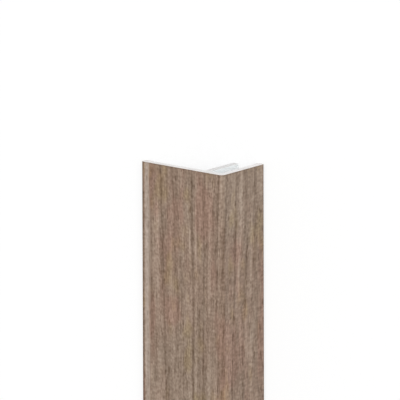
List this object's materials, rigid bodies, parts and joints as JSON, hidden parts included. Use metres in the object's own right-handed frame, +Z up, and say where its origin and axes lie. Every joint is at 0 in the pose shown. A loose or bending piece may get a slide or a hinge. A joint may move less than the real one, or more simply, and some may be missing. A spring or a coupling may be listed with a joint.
{
  "type": "cladding end trim",
  "caption": "Straight F-section cladding end trim with a wood-grain face: a long return wing, a short front wing and a nailing tab that forms a pocket for the boards' ends.",
  "frame": {"origin": "middle of the trim's length and width, on the floor that it lies on", "axes": "+X along the trim's length, +Y towards the short wing's free edge, +Z up through the outer corner"},
  "size_m": [2.5, 0.0646, 0.0308],
  "materials": {
    "foiled_pvc": "matt grey-brown wood-grain film on the outer faces, bare white PVC inside and on the cut ends"
  },
  "bodies": {
    "root": {"end_trim": "foiled_pvc"}
  },
  "joints": []
}
